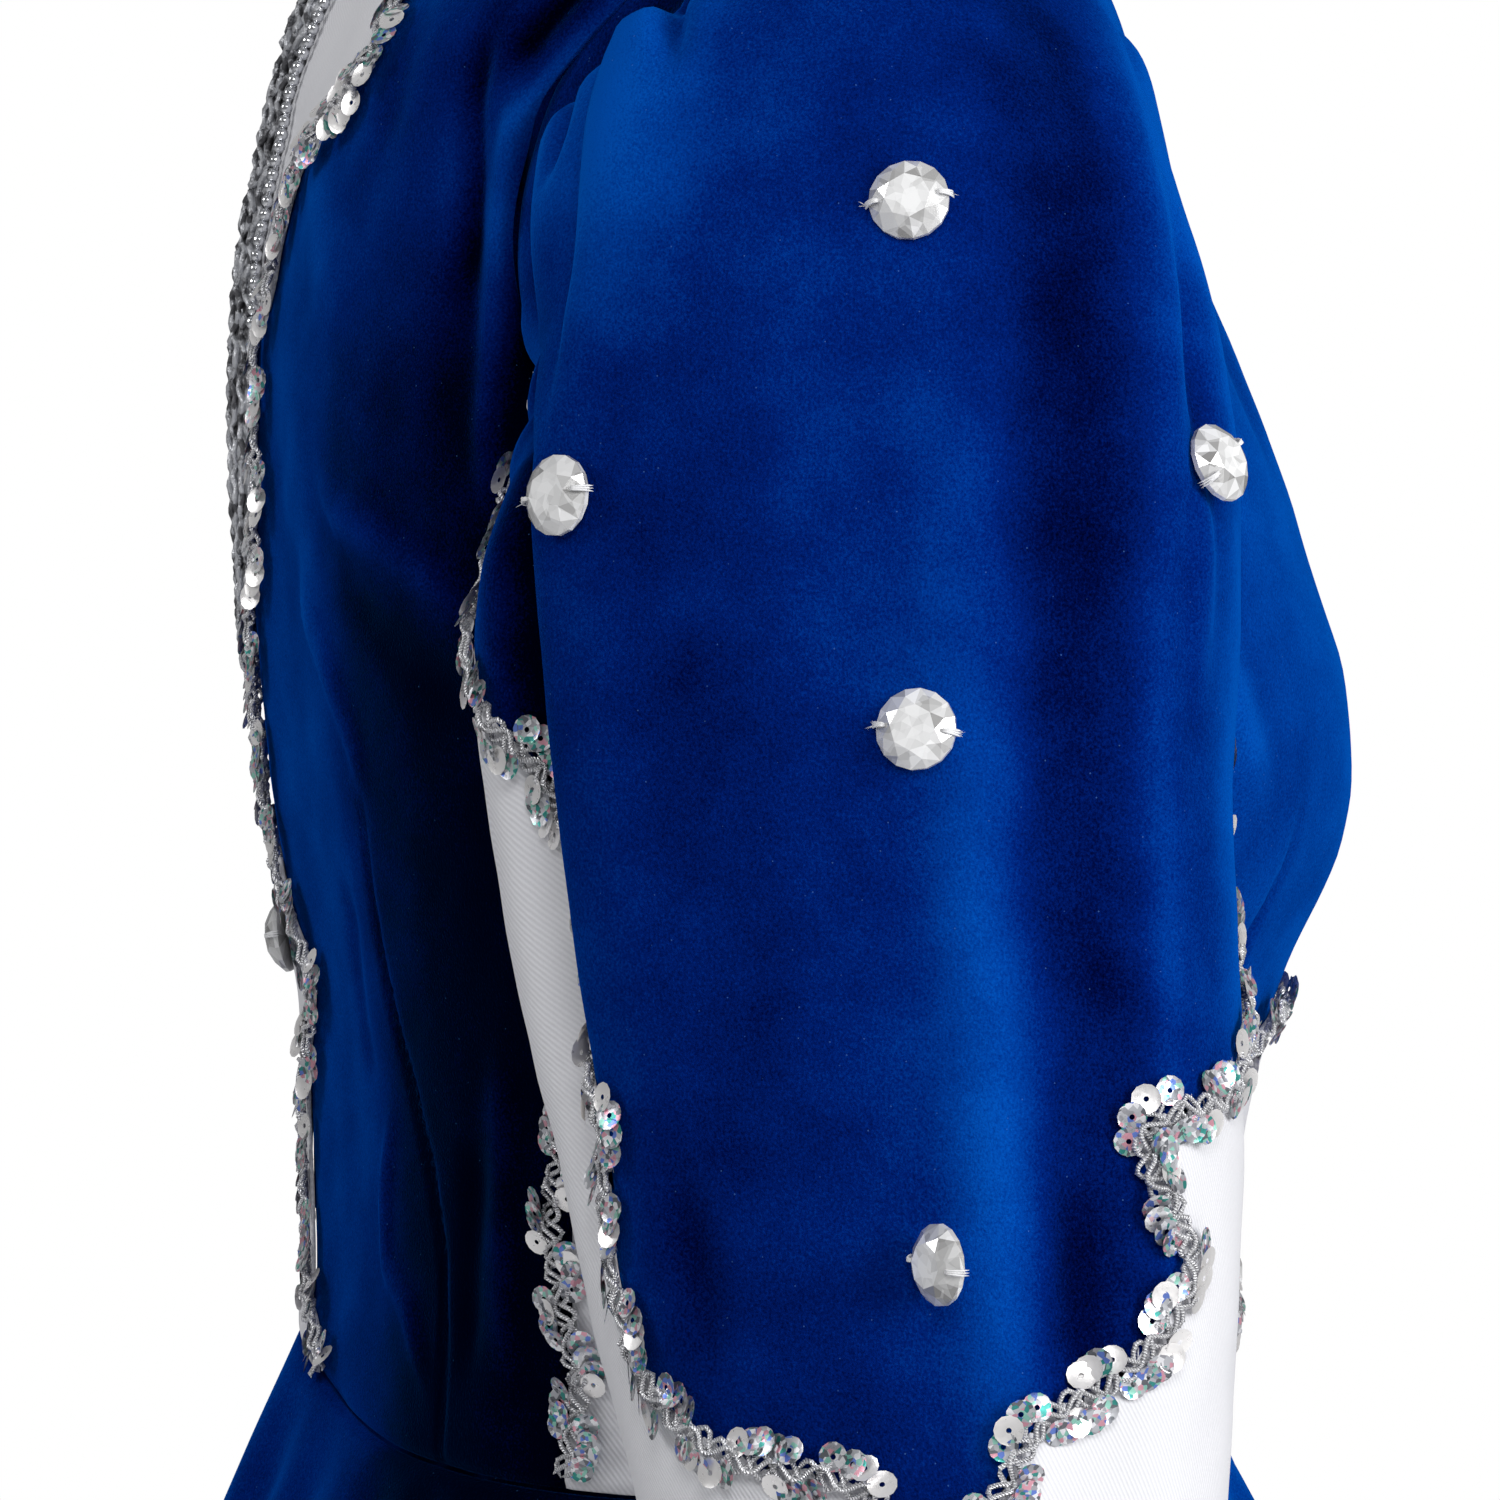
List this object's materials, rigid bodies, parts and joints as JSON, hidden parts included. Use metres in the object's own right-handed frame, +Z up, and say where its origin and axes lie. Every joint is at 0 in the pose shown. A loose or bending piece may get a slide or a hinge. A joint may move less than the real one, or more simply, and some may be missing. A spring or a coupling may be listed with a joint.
{
  "type": "color guard dress",
  "caption": "Fitted velvet guard costume with full gathered sleeves, white twill insets, silver sequin braid, sewn-on clear stones and a short flared skirt, shown worn",
  "frame": {"origin": "between the wearer's shoulders, on the middle plane of the dress, 22 mm below the neck edge at the side of the neck", "axes": "+X to the wearer's left, -Y the way the wearer faces, +Z up the standing wearer"},
  "size_m": [0.694, 0.5505, 0.7158],
  "materials": {
    "velvet": "royal blue pile velvet, deep where it faces the eye and lighter at its edges",
    "twill": "matt white twill with fine diagonal ribs",
    "braid": "silver metallic cords, meandering along the middle of the braid",
    "sequins": "flat silver sequins with small coloured flecks, sewn in overlapping groups",
    "lace": "dark and silver metallic lace",
    "beads": "small silver beads in a chain",
    "crystal": "clear faceted stone with a bright foil back",
    "thread": "white sewing thread"
  },
  "bodies": {
    "root": {"back_braid_left": "braid", "back_braid_right": "braid", "back_inset_left": "twill", "back_inset_right": "twill", "back_stone": "crystal", "bead_chain_left": "beads", "bead_chain_right": "beads", "bodice_back_left": "velvet", "bodice_back_right": "velvet", "bodice_front": "velvet", "centre_band": "lace", "chest_inset": "twill", "front_braid_left": "braid", "front_braid_right": "braid", "side_braid_back_left": "braid", "side_braid_back_right": "braid", "side_braid_front_left": "braid", "side_braid_front_right": "braid", "side_panel_left": "twill", "side_panel_right": "twill", "skirt_back_left": "velvet", "skirt_back_right": "velvet", "skirt_front": "velvet", "sleeve_braid_left": "braid", "sleeve_braid_right": "braid", "sleeve_left_twill": "twill", "sleeve_left_velvet": "velvet", "sleeve_right_twill": "twill", "sleeve_right_velvet": "velvet", "sleeve_stone_left_1": "crystal", "sleeve_stone_left_2": "crystal", "sleeve_stone_left_3": "crystal", "sleeve_stone_left_4": "crystal", "sleeve_stone_left_5": "crystal", "sleeve_stone_right_1": "crystal", "sleeve_stone_right_2": "crystal", "sleeve_stone_right_3": "crystal", "sleeve_stone_right_4": "crystal", "sleeve_stone_right_5": "crystal", "waist_inset": "twill", "waist_stone": "crystal"}
  },
  "joints": []
}
